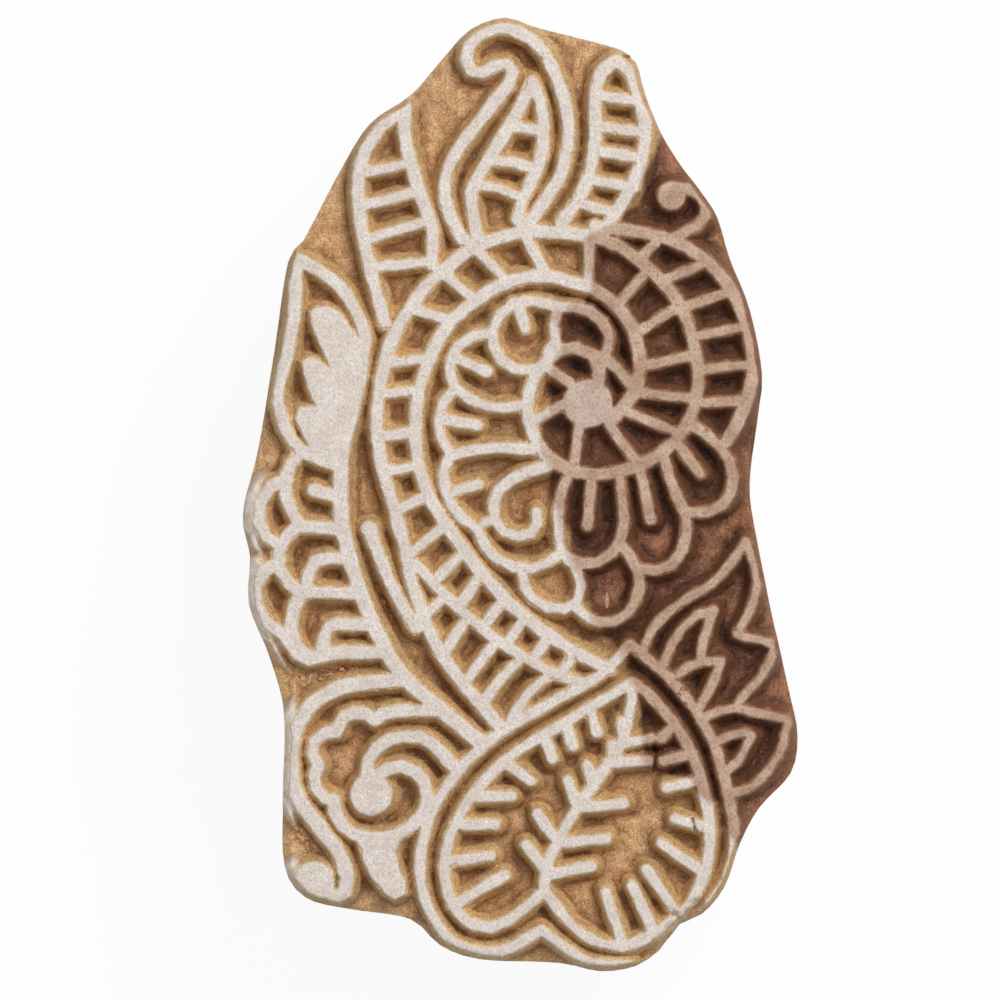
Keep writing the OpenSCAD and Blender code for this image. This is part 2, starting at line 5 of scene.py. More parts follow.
import bmesh
import bpy
import numpy as np
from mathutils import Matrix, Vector


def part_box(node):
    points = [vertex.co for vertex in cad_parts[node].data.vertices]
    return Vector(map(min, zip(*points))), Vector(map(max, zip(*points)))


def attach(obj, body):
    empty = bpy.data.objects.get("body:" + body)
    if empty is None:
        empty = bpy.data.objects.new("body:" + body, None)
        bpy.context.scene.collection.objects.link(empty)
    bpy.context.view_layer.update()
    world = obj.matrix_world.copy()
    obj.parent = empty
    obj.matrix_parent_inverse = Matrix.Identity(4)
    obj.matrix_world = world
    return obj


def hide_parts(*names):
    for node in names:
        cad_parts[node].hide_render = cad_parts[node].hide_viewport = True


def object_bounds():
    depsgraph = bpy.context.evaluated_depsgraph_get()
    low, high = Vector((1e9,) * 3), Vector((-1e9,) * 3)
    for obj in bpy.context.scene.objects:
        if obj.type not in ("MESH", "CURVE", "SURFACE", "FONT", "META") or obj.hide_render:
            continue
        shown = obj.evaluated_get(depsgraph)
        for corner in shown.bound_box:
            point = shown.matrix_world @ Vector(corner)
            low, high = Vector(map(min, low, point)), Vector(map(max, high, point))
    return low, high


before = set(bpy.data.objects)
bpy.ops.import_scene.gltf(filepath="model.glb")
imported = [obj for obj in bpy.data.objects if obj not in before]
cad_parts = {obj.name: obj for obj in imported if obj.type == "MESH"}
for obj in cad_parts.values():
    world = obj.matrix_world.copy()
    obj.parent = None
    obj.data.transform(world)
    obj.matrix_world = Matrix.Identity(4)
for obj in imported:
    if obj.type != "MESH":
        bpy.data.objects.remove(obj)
cad_lo, cad_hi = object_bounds()

# Lengths are in millimetres up to the moment that a mesh, lamp or camera is made.
MM = 0.001

# Heights and thicknesses that the frame gives.
COAT_TOP = cad_hi.z / MM
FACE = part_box("carved_block")[1].z / MM
levels = sorted({round(v.co.z / MM, 3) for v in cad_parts["carved_block"].data.vertices})
BACK, GROUND = levels[0], levels[-2]
COAT = COAT_TOP - FACE
HANDLE_LO, HANDLE_HI = (np.array(corner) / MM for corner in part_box("back_handle"))

# The relief: its depth, how far a wall runs out at its foot, and how much further in a narrow cell.
GROUND_DEPTH = FACE - GROUND
WALL_RUN = 0.42
WALL_CURVE = 1.25
NARROW_RUN = 0.22

# Narrow cells: how far off their middle is looked for, the half widths that count, and the span of painted
# shade in their middle.
NARROW_REACH = 1.3
NARROW = (1.0, 2.2)
CELL_SHADE_SPAN = (0.35, 0.95)

# The knife: how much its lean lengthens a wall, the way such a wall faces, and how far the lean is eased.
KNIFE_LEAN = 0.4
KNIFE_TOWARDS = (0.75, 0.66)
KNIFE_EASE = 0.42

# Marks of the work: worn edges, the waver of the cut, the floor's level and swell, and raised fibres.
EDGE_WEAR = 0.07
CUT_WOBBLE = 0.085
FLOOR_LEVEL = 0.97
FLOOR_SWELL = 0.05
FIBRE = 0.03

# Gouge marks on the floor: their depth, and how far from the lands they begin and reach it.
GOUGE = 0.2
GOUGE_FROM = (0.2, 1.4)

# The worn rim of the face: how far it drops and how far in that reaches.
RIM_DROP = 0.5
RIM_RUN = 0.4

# The sawn side and the back: rings of points, depth of the saw's waves, and the round at the back's edge.
SIDE_RINGS = 14
SIDE_WAVE = 0.16
BACK_ROUND = 0.5
BACK_ROUND_FROM = 0.93

# The angle in degrees above which an edge of the block is shaded as a crease.
SHARP_ANGLE = 60

# The grid that carries the relief: its spacing, its margin and how far distances are measured.
STEP = 0.14
MARGIN = 1.0
REACH = 5.0

# Tolerances for lying at a height and for being one point, and how far round the handle its housing lies.
LEVEL_TOLERANCE = 0.01
WELD = 0.001
HOUSING_REACH = 1

# Cells across the square of random values that smooth noise is drawn from.
LATTICE = 128

# Where the dark heartwood begins, as (y, x) down the block, with the heartwood on the right.
HEART_LINE = (
    (50, 16),
    (34.5, 13.5),
    (29, 12),
    (25.5, 6.6),
    (20.5, 6.4),
    (17.5, 4),
    (2.5, 2.7),
    (-2.5, 4),
    (-6.5, 5.5),
    (-10.5, 6),
    (-14, 7.9),
    (-17, 11),
    (-23, 12),
    (-27.5, 13.8),
    (-28.5, 17),
    (-31.5, 20),
    (-36, 22),
)

# The border of the heartwood: half its blend, how far it leans out with depth, and how ragged it is.
HEART_BLEND = 0.5
HEART_TILT = 0.3
HEART_RAGGED = 0.9
HEART_FINE_RAGGED = 0.5

# The growth rings of the sawn side: the heart of the tree, which runs along y, and their spacing.
PITH = (60, 0, FACE + 5)
RING_STEP = 1.7

# The spacing of the rings that a wave texture draws at scale 1.
WAVE_UNIT = math.tau / 20

# Drying cracks, as lines across the face, and their width and depth.
CRACKS = (
    ((13.3, -25.1), (13.45, -26.4), (13.35, -27.7)),
    ((17.2, -32.4), (17.5, -33.8)),
)
CRACK_WIDTH = 0.12
CRACK_DEPTH = 0.9

# Bruises along the right edge and at a leaf's tip: place, reach and depth, and how ragged they are.
BRUISES = (
    ((17.2, -42.2), 0.9, 1.6),
    ((16, -43.6), 1.1, 2.2),
    ((14.6, -44.9), 0.8, 1.4),
    ((24.6, 9), 0.8, 1.2),
    ((11.1, 43.9), 0.8, 1.3),
)
BRUISE_RAGGED = 0.4

# Sawdust on the ground and stains at the right edge: the middle and half size of each patch.
SAWDUST = (
    ((-20.5, -17.2), (4.5, 2)),
    ((-21.5, -33.5), (2, 3)),
    ((-9.8, -41), (1.5, 2.5)),
)
STAINS = (
    ((23.5, 4.6), (0.6, 2.6)),
    ((24.2, 10), (0.35, 2)),
)

# How far from the lands the sawdust begins and lies full.
DUST_FROM = (0.4, 0.9)

# Chalk smeared over the left edge: where it fades out, at its side, foot, head, the rim and the lands.
SMEAR_X = (19.5, 22.5)
SMEAR_FOOT = (-42, -36)
SMEAR_HEAD = (-4, -1)
SMEAR_RIM = (-1.9, -0.7)
SMEAR_LAND = (-1.6, -0.7)

# The share of the carved depth that the smear fills.
SMEAR_FILL = 0.8

# The coat: its inset from the rim, its feathered border, how far it sinks in and how uneven it is.
COAT_INSET = 0.1
COAT_FEATHER = (-0.05, 0.14)
COAT_SINK = 0.03
COAT_UNEVEN = 0.12

# How far the coat is worn back: by the knife's side, by a ragged edge, by damage below it and by flaking.
COAT_WEAR = 0.04
COAT_RAGGED = 0.06
COAT_FINE_RAGGED = 0.05
COAT_BROKEN = 0.5
COAT_FLAKE = 0.35
COAT_FLAKE_FROM = (0.95, 1.4)

# A pale splinter in the lowest dark petal: its middle and half size.
SPLINTER_AT = (8.65, -10.6)
SPLINTER_SIZE = (0.22, 0.85)

# The eye of the flower, where the coat stays paler on the heartwood: its middle, half size and by how much.
PALE_EYE = (((6.9, 8.7), (2.9, 2.9)),)
PALE_SHARE = 0.4

# The block's baking map: its width, how far the side is spread round the face, and where the back lies.
BLOCK_MAP = 106
SIDE_SPREAD = 4
BACK_SCALE = 0.55
BACK_SHIFT = (50, 0)

# The coat's baking map: its width, and where the underside lies.
COAT_MAP = 98
UNDER_SCALE = 0.5
UNDER_SHIFT = (45, 0)

# The handle's surface: its mesh size, strength and rounds of smoothing, and depth of facets and fibres.
HANDLE_CELL = 0.45
HANDLE_EASE = 0.5
HANDLE_EASE_ROUNDS = 8
HANDLE_FACET = 0.2
HANDLE_FIBRE = 0.05

# A nail: the head's width and thickness, the shank's width, the point's length and end, and its sides.
NAIL_HEAD = 4.6
NAIL_HEAD_T = 0.9
NAIL_SHANK = 2.2
NAIL_POINT = 3
NAIL_BLUNT = NAIL_SHANK / 6
NAIL_SIDES = 24

# The domed nail head from its top to its seat, as shares of its radius and thickness.
NAIL_DOME = ((0.25, 0), (0.7, 0.06), (0.92, 0.25), (1, 0.5), (0.97, 0.8), (0.9, 1))

# Hammer marks in a nail's head: their share of the radius, their size and the circle they are read on.
NAIL_DENT = 0.07
NAIL_DENT_SIZE = 1.5
NAIL_DENT_CIRCLE = 3

# The studio: each lamp's place, size and power, the sky as light and as backdrop, and the floor.
KEY_LAMP = ((250, 320, 680), 260, 4.2)
SOFTBOX = ((0, 60, 1300), 700, 4.1)
SKY_LIGHT = 0.3
SKY_BACKDROP = 1.0
STAGE_WIDTH = 4000
STAGE_GREY = 0.82
STAGE_WHITE = 0.93

# Wood colours as on a screen, 0 to 255: of the sapwood and of the heartwood.
FLOOR_WOOD = ((203, 165, 122), (154, 106, 79))
DEEP_WOOD = ((172, 128, 86), (92, 58, 42))
WALL_WOOD = ((203, 165, 114), (111, 72, 50))
LIP_WOOD = ((213, 187, 150), (157, 117, 89))
# Grime and painted shade at the foot of the walls.
FOOT_GRIME_AND_SHADE = ((121, 78, 43), (54, 33, 25))
# Painted shade in the middle of narrow cells.
PAINTED_CELL_SHADE = ((92, 56, 30), (33, 20, 15))
WORN_WOOD = ((206, 174, 132), (156, 108, 76))
RUDDY_WOOD = ((170, 116, 72), (110, 55, 34))
DIRT = ((122, 78, 44), (54, 34, 26))
DUST = ((224, 196, 156), (168, 130, 102))
SAWN_WOOD = ((196, 154, 104), (128, 82, 58))
HANDLED_WOOD = ((140, 98, 60), (74, 46, 36))

# What marks the block's wood: the heartwood's bleached rim, stains, open pores, sawdust and smeared chalk.
BLEACHED = (180, 130, 98)
STAIN = (52, 42, 38)
PORE = (78, 46, 28)
SAWDUST_GRIT = (240, 198, 140)
SMEARED_CHALK = (226, 217, 207)

# Chalk colours: two of the pale and two of the tan chalk, then stains, pits and bare spots by kind of wood.
PALE_CHALK = ((224, 215, 207), (213, 200, 190))
TAN_CHALK = ((199, 173, 152), (174, 142, 121))
RUDDY_CHALK = ((213, 188, 176), (170, 128, 106))
PITTED_CHALK = ((160, 134, 114), (116, 84, 66))
BARE_CHALK = ((212, 187, 152), (164, 128, 102))

# The chalk over the border of the heartwood.
BORDER_CHALK = (190, 168, 157)

# The handle's two tones of wood, its grime, rubbed streaks and pores, and the nails' iron and rust.
HANDLE_WOOD = ((170, 124, 80), (128, 86, 52))
HANDLE_GRIME = (78, 50, 32)
HANDLE_RUBBED = (196, 152, 104)
HANDLE_PORE = (58, 35, 21)
IRON_AND_RUST = ((72, 68, 66), (96, 60, 40))

# The camera of the photograph: straight above, with 100 mm across the picture.
VIEW_CENTRE = (-2.05, -0.55)
VIEW_WIDTH = 100
VIEW_HEIGHT = 900
SENSOR = 36


def noise(x, y, size, seed):
    """Smooth random values from -1 to 1 over the plane, in lumps about size millimetres across."""
    lattice = np.random.default_rng(seed).uniform(-1, 1, (LATTICE, LATTICE))
    u, v = x / size, y / size
    i, j = np.floor(u).astype(int), np.floor(v).astype(int)
    u, v = u - i, v - j
    u, v = u * u * (3 - 2 * u), v * v * (3 - 2 * v)
    left, right = i % LATTICE, (i + 1) % LATTICE
    below, above = j % LATTICE, (j + 1) % LATTICE
    low = lattice[below, left] * (1 - u) + lattice[below, right] * u
    high = lattice[above, left] * (1 - u) + lattice[above, right] * u
    return low * (1 - v) + high * v


def smooth_step(value, low, high):
    """0 below low, 1 above high, and an even turn between."""
    t = np.clip((value - low) / (high - low), 0, 1)
    return t * t * (3 - 2 * t)


def flat_edges(node, height):
    """The free edges of a CAD node's flat faces at a height, as an array of (start, end) points."""
    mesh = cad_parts[node].data
    mesh.calc_loop_triangles()
    points = np.empty(len(mesh.vertices) * 3)
    mesh.vertices.foreach_get("co", points)
    points = points.reshape(-1, 3) / MM
    corners = np.empty(len(mesh.loop_triangles) * 3, int)
    mesh.loop_triangles.foreach_get("vertices", corners)
    corners = corners.reshape(-1, 3)
    level = np.all(np.abs(points[corners, 2] - height) < LEVEL_TOLERANCE, axis=1)
    spots, weld = np.unique(np.round(points[:, :2], 3), axis=0, return_inverse=True)
    flat = weld.ravel()[corners[level]]
    sides = np.sort(np.concatenate([flat[:, [0, 1]], flat[:, [1, 2]], flat[:, [2, 0]]]), axis=1)
    sides, uses = np.unique(sides, axis=0, return_counts=True)
    return spots[sides[uses == 1]]


def in_housing(edges):
    """Which edges lie in the shallow housing that the handle sits in."""
    low, high = HANDLE_LO[:2] - HOUSING_REACH, HANDLE_HI[:2] + HOUSING_REACH
    return np.all((edges > low) & (edges < high), axis=(1, 2))


back_edges = flat_edges("carved_block", BACK)
outline = back_edges[~in_housing(back_edges)]
housing = back_edges[in_housing(back_edges)]
lands = flat_edges("carved_block", FACE)

xs = np.arange(outline[..., 0].min() - MARGIN, outline[..., 0].max() + MARGIN, STEP)
ys = np.arange(outline[..., 1].min() - MARGIN, outline[..., 1].max() + MARGIN, STEP)
X, Y = np.meshgrid(xs, ys)


def distance_to(edges):
    """The distance from each grid point to the nearest edge, up to REACH."""
    away = np.full(X.shape, REACH)
    for start, end in edges:
        near = np.minimum(start, end) - REACH
        far = np.maximum(start, end) + REACH
        across = slice(*np.searchsorted(xs, (near[0], far[0])))
        along = slice(*np.searchsorted(ys, (near[1], far[1])))
        x, y = X[along, across] - start[0], Y[along, across] - start[1]
        dx, dy = end - start
        t = np.clip((x * dx + y * dy) / max(dx * dx + dy * dy, 1e-9), 0, 1)
        away[along, across] = np.minimum(away[along, across], np.hypot(x - t * dx, y - t * dy))
    return away


def signed_distance(edges):
    """The distance from each grid point to closed outlines, negative inside them."""
    turns = np.zeros((len(ys), len(xs) + 1), int)
    for (x0, y0), (x1, y1) in edges:
        rows = np.arange(*np.searchsorted(ys, sorted((y0, y1))))
        if len(rows):
            x = x0 + (ys[rows] - y0) * (x1 - x0) / (y1 - y0)
            np.add.at(turns, (rows, np.searchsorted(xs, x)), 1)
    inside = np.cumsum(turns, axis=1)[:, :-1] % 2 == 1
    return distance_to(edges) * np.where(inside, -1, 1)


def path(points):
    """A line of points as edges."""
    points = np.array(points, float)
    return np.stack([points[:-1], points[1:]], axis=1)


from_outline = -signed_distance(outline)
from_land = signed_distance(lands)

# The hand-cut edge wavers a little.
from_land += CUT_WOBBLE * (noise(X, Y, 1.7, seed=1) + 0.5 * noise(X, Y, 0.6, seed=2))

# Grid points beside a land's edge are drawn onto it, so that the edge is clean.
slope_y, slope_x = np.gradient(from_land, STEP)
beside = np.abs(from_land) < STEP / 2
X = np.where(beside, X - from_land * slope_x, X)
Y = np.where(beside, Y - from_land * slope_y, Y)
from_land = np.where(beside, 0, from_land)


def gathered(values, reach, how):
    """The mean or the largest of the values within reach of each grid point, along rows and columns."""
    steps = round(reach / STEP)
    for axis in (0, 1):
        values = how([np.roll(values, k, axis) for k in range(-steps, steps + 1)], axis=0)
    return values


# The knife leans one way, so walls that look to the upper right slope more than those across from them.
facing = np.clip(slope_x * KNIFE_TOWARDS[0] + slope_y * KNIFE_TOWARDS[1], -1, 1)
facing = gathered(facing, KNIFE_EASE, np.mean)
knife = 1 + KNIFE_LEAN * facing
from_lip = from_land / knife

# Narrow cells, from 0 to 1: their walls lean in to the middle, and painted shade darkens that middle,
# reaching nearer the walls that face away from the key lamp.
half_width = np.maximum(gathered(from_land, NARROW_REACH, np.max), STEP)
narrow = 1 - smooth_step(half_width, *NARROW)
cell_shade = narrow * smooth_step(from_lip / half_width, *CELL_SHADE_SPAN) * (0.85 + 0.3 * noise(X, Y, 0.8, seed=13))
cell_shade = np.clip(cell_shade, 0, 1)

heart_line = np.array(sorted(HEART_LINE), float)


def heartwood(x, y, below=0):
    """Heartwood from 0 to 1 at places and depths below the face, with a ragged, leaning border."""
    border = np.interp(y, heart_line[:, 0], heart_line[:, 1]) + HEART_TILT * below
    border = border + HEART_RAGGED * noise(x, y + below, 3, seed=3)
    border = border + HEART_FINE_RAGGED * noise(x, (y + below) / 3, 0.7, seed=4)
    return smooth_step(x - border, -HEART_BLEND, HEART_BLEND)


heart = heartwood(X, Y)


def patch(spots):
    """1 in the middle of each (place, half size) and fading out round it."""
    return sum(np.exp(-(((X - x) / w) ** 2) - ((Y - y) / h) ** 2) for (x, y), (w, h) in spots)


# What lies on the wood, from 0 to 1: sawdust on the ground, stains, and chalk smeared down the left edge.
dusty = np.clip(patch(SAWDUST), 0, 1) * smooth_step(from_land, *DUST_FROM)
stained = np.clip(patch(STAINS), 0, 1)
smeared = smooth_step(-X, *SMEAR_X) * smooth_step(Y, *SMEAR_FOOT) * smooth_step(-Y, *SMEAR_HEAD)
smeared = smeared * smooth_step(-from_outline, *SMEAR_RIM) * smooth_step(-from_land, *SMEAR_LAND)
streaky = 0.85 + 0.4 * noise(X, Y, 1.3, seed=25) + 0.25 * noise(X, Y, 0.5, seed=27)
chalky = np.clip(smeared * streaky, 0, 1)

# The carved depth below the face: worn edges, steep walls that ease into the floor, tool marks and damage.
run = EDGE_WEAR * np.logaddexp(0, from_land / EDGE_WEAR)
floor_depth = GROUND_DEPTH * (FLOOR_LEVEL + FLOOR_SWELL * noise(X, Y, 5, seed=5))
lean = (WALL_RUN + NARROW_RUN * narrow) * knife
depth = floor_depth * (1 - np.exp(-((run / lean) ** WALL_CURVE)))
cut = smooth_step(from_land, *GOUGE_FROM)
strokes = np.abs(noise(X + 0.4 * Y, Y, 1.3, seed=6)) + 0.5 * np.abs(noise(X, Y, 0.55, seed=7))
depth = depth + GOUGE * cut * (strokes - 0.5)
depth = depth + FIBRE * noise(X, Y / 4, 0.35, seed=8)
depth = depth * (1 - SMEAR_FILL * smeared)
depth = depth + RIM_DROP * np.exp(-np.maximum(from_outline, 0) / RIM_RUN)
damage = np.zeros(X.shape)
for crack in CRACKS:
    damage += CRACK_DEPTH * np.exp(-((distance_to(path(crack)) / CRACK_WIDTH) ** 2))
for (x, y), reach, drop in BRUISES:
    blow = np.hypot(X - x, Y - y) / reach * (1 + BRUISE_RAGGED * noise(X, Y, 0.7, seed=9))
    damage += drop * np.exp(-blow * blow)
depth = np.maximum(depth + damage, 0)
surface = FACE - depth

# The corners of a grid cell as steps in row and column, in order round it.
CORNERS = ((0, 0), (0, 1), (1, 1), (1, 0))


def clipped(field):
    """The grid where field is above zero, cut where it crosses zero.

    Returns each vertex's row and column, the triangles, whose diagonals run along the lands, and the edges
    of the rim, which have the kept side on their left.
    """
    inside = field > 0
    index = np.full(field.shape, -1)
    index[inside] = np.arange(inside.sum())
    places = [tuple(place) for place in np.argwhere(inside).astype(float)]
    kept = sum(inside[r : r + len(ys) - 1, c : c + len(xs) - 1].astype(int) for r, c in CORNERS)
    rows, columns = np.nonzero(kept == 4)
    quads = np.stack([index[rows + r, columns + c] for r, c in CORNERS], axis=1)
    a, b, c, d = (from_land[rows + r, columns + c] for r, c in CORNERS)
    along = (np.abs(a - c) <= np.abs(b - d))[:, None]
    halves = np.where(along, quads[:, [0, 1, 2, 0, 2, 3]], quads[:, [0, 1, 3, 1, 2, 3]]).reshape(-1, 3)
    crossings, triangles, rim = {}, [], []
    for row, column in np.argwhere((kept > 0) & (kept < 4)):
        corners = [(row + r, column + c) for r, c in CORNERS]
        ring, leaving = [], []
        for here, after in zip(corners, corners[1:] + corners[:1]):
            if inside[here]:
                ring.append(index[here])
            if inside[here] == inside[after]:
                continue
            key = min(here, after), max(here, after)
            if key not in crossings:
                t = field[here] / (field[here] - field[after])
                crossings[key] = len(places)
                places.append(tuple(a + t * (b - a) for a, b in zip(here, after)))
            if inside[here]:
                leaving.append(len(ring))
            ring.append(crossings[key])
        triangles += [(ring[0], ring[k], ring[k + 1]) for k in range(1, len(ring) - 1)]
        rim += [(ring[k], ring[(k + 1) % len(ring)]) for k in leaving]
    return np.array(places), np.concatenate([halves, triangles]), np.array(rim)


def sampled(values, places):
    """Grid values read at places between the grid points."""
    low = np.minimum(np.floor(places).astype(int), np.array(values.shape) - 2)
    r, c = low.T
    t, s = (places - low).T
    near = values[r, c] * (1 - s) + values[r, c + 1] * s
    far = values[r + 1, c] * (1 - s) + values[r + 1, c + 1] * s
    return near * (1 - t) + far * t


def plan(places):
    """Places on the grid as x and y."""
    return np.stack([sampled(X, places), sampled(Y, places)], axis=1)


def make_piece(name, node, points, face_groups, attributes=None):
    """A mesh piece on the block, from points in millimetres and arrays of faces, in place of a CAD node."""
    mesh = bpy.data.meshes.new(name)
    mesh.vertices.add(len(points))
    mesh.vertices.foreach_set("co", (np.asarray(points) * MM).ravel())
    corners = np.concatenate([np.ravel(group) for group in face_groups])
    counts = np.concatenate([np.full(len(group), len(group[0])) for group in face_groups])
    mesh.loops.add(len(corners))
    mesh.loops.foreach_set("vertex_index", corners)
    mesh.polygons.add(len(counts))
    mesh.polygons.foreach_set("loop_start", np.cumsum(counts) - counts)
    mesh.update(calc_edges=True)
    mesh.shade_smooth()
    for key, values in (attributes or {}).items():
        mesh.attributes.new(key, "FLOAT", "POINT").data.foreach_set("value", values)
    return place_piece(name, node, mesh)


def place_piece(name, node, mesh):
    """Puts a mesh in the scene as the piece that stands for a CAD node."""
    piece = bpy.data.objects.new(name, mesh)
    bpy.context.collection.objects.link(piece)
    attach(piece, "root")
    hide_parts(node)
    return piece


def make_map(mesh, spots, size):
    """Gives a mesh the map that its materials are baked through, from a spot in millimetres per corner."""
    layer = mesh.uv_layers.new(name="OFBake")
    low = spots.min(axis=0)
    layer.uv.foreach_set("vector", ((spots - low) / size).astype(np.float32).ravel())


def corner_vertices(mesh):
    """The vertex at each corner of a mesh's faces."""
    found = np.empty(len(mesh.loops), np.int32)
    mesh.loops.foreach_get("vertex_index", found)
    return found


def inward_at(places):
    """The direction into the block at places on its rim."""
    rise_y, rise_x = np.gradient(from_outline, STEP)
    inward = np.stack([sampled(rise_x, places), sampled(rise_y, places)], axis=1)
    return inward / np.maximum(np.linalg.norm(inward, axis=1, keepdims=True), 1e-6)


def side_rings(flat, height, inward):
    """Rings of points down the sawn side from the rim, with their spots in the map and their heartwood."""
    x, y = flat.T
    points, spots, core = [], [], []
    for k in range(1, SIDE_RINGS + 1):
        t = k / SIDE_RINGS
        z = height * (1 - t) + BACK * t
        saw = 0.5 + 0.35 * noise(x + y, z * 2.5, 1.2, seed=11) + 0.15 * noise(x - y, z, 4, seed=12)
        inset = SIDE_WAVE * saw * math.sin(math.pi * t) + BACK_ROUND * smooth_step(t, BACK_ROUND_FROM, 1)
        points.append(np.column_stack([flat + inward * inset[:, None], z]))
        spots.append(flat - inward * SIDE_SPREAD * t)
        core.append(heartwood(x, y, height - z))
    return points, spots, core


def block_fields(places, rest, core):
    """What the block's wood reads at each vertex: at places on the face, then at the rest of the block."""

    def on_face(values, elsewhere=0):
        """Grid values on the face, and one value elsewhere."""
        return np.concatenate([sampled(values, places), np.full(rest, float(elsewhere))])

    return {
        "side": np.concatenate([np.zeros(len(places)), np.ones(rest)]),
        "heart": core,
        "away": on_face(from_lip, REACH),
        "edge": on_face(from_outline),
        "cell_shade": on_face(cell_shade),
        "dusty": on_face(dusty),
        "stained": on_face(stained),
        "smeared": on_face(chalky),
    }


def carved_block():
    """The block: relief on top, a sawn side in rings, and a back with the handle's housing."""
    places, triangles, rim = clipped(from_outline)
    flat = plan(places)
    height = sampled(surface, places)
    lip, rim = np.unique(rim, return_inverse=True)
    a, b = rim.reshape(-1, 2).T
    rings, ring_spots, ring_core = side_rings(flat[lip], height[lip], inward_at(places[lip]))
    shell = np.concatenate([np.column_stack([flat, height]), *rings])
    walls = []
    above = lip
    for k in range(SIDE_RINGS):
        below = len(places) + k * len(lip) + np.arange(len(lip))
        walls.append(np.stack([above[a], below[a], below[b], above[b]], axis=1))
        above = below
    back_faces, points = back_cap(shell, np.stack([above[b], above[a]], axis=1))
    back = points[len(shell) :]
    core = np.concatenate([sampled(heart, places), *ring_core, np.zeros(len(back))])
    fields = block_fields(places, len(points) - len(places), core)
    faces = [triangles, *walls, *back_faces]
    piece = make_piece("carved_block_relief", "carved_block", points, faces, fields)
    vertices = corner_vertices(piece.data)
    spots = np.concatenate([flat, *ring_spots, back[:, :2]])[vertices]
    on_back = slice(-sum(np.size(group) for group in back_faces), None)
    spots[on_back] = points[vertices[on_back], :2] * BACK_SCALE + BACK_SHIFT
    make_map(piece.data, spots, BLOCK_MAP)
    piece.data.set_sharp_from_angle(angle=math.radians(SHARP_ANGLE))
    return piece


def back_cap(points, ring):
    """Faces that close the back between the ring and the housing, and the housing's walls and floor."""
    low, high = housing.reshape(-1, 2).min(axis=0), housing.reshape(-1, 2).max(axis=0)
    square = np.array([(low[0], low[1]), (low[0], high[1]), (high[0], high[1]), (high[0], low[1])])
    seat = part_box("back_handle")[1].z / MM
    first = len(points)
    pocket = [np.column_stack([square, np.full(4, z)]) for z in (BACK, seat)]
    points = np.concatenate([points, *pocket])
    work = bmesh.new()
    used = {}
    for index in [*np.unique(ring), *range(first, first + 4)]:
        used[index] = work.verts.new(points[index])
    edges = [work.edges.new((used[a], used[b])) for a, b in ring]
    edges += [work.edges.new((used[first + k], used[first + (k + 1) % 4])) for k in range(4)]
    bmesh.ops.triangle_fill(work, edges=edges, use_beauty=True, normal=(0, 0, -1))
    names = {vertex: index for index, vertex in used.items()}
    cap = []
    for face in work.faces:
        face.normal_update()
        corners = [names[vertex] for vertex in face.verts]
        cap.append(corners if face.normal.z < 0 else corners[::-1])
    work.free()
    walls = [(first + k, first + (k + 1) % 4, first + 4 + (k + 1) % 4, first + 4 + k) for k in range(4)]
    floor = [(first + 4, first + 5, first + 6, first + 7)]
    return [np.array(cap), np.array(walls), np.array(floor)], points


def tracing_coat():
    """The chalky coat on the lands: a thin skin, worn back from the edges and feathered at its border."""
    worn = COAT_WEAR - COAT_WEAR * facing
    worn = worn + COAT_RAGGED * noise(X, Y, 0.8, seed=21) + COAT_FINE_RAGGED * noise(X, Y, 0.4, seed=22)
    worn = worn + COAT_BROKEN * damage
    flaky = noise(X, Y, 2.3, seed=23) + 0.6 * noise(X, Y, 0.5, seed=24)
    worn = worn + COAT_FLAKE * smooth_step(flaky, *COAT_FLAKE_FROM)
    splinter = np.hypot((X - SPLINTER_AT[0]) / SPLINTER_SIZE[0], (Y - SPLINTER_AT[1]) / SPLINTER_SIZE[1])
    field = np.maximum(-from_land - worn, SPLINTER_SIZE[0] * (1 - splinter))
    places, triangles, rim = clipped(np.minimum(field, from_outline - COAT_INSET))
    flat = plan(places)
    thick = COAT * smooth_step(sampled(field, places), *COAT_FEATHER)
    thick = thick * (1 - COAT_UNEVEN + COAT_UNEVEN * sampled(noise(X, Y, 0.4, seed=26), places))
    under = sampled(surface, places)
    skins = (under + thick, under - COAT_SINK)
    points = np.concatenate([np.column_stack([flat, height]) for height in skins])
    low = len(places)
    a, b = rim.T
    wall = np.stack([a, a + low, b + low, b], axis=1)
    faces = [triangles, triangles[:, ::-1] + low, wall]
    stained_through = heart * (1 - PALE_SHARE * patch(PALE_EYE))
    fields = {
        "heart": np.tile(sampled(stained_through, places), 2),
        "inset": np.tile(sampled(field, places), 2),
    }
    piece = make_piece("chalk_tracing_coat", "tracing_coat", points, faces, fields)
    vertices = corner_vertices(piece.data)
    spots = points[vertices][:, :2]
    spots[vertices >= low] = spots[vertices >= low] * UNDER_SCALE + UNDER_SHIFT
    make_map(piece.data, spots, COAT_MAP)
    return piece


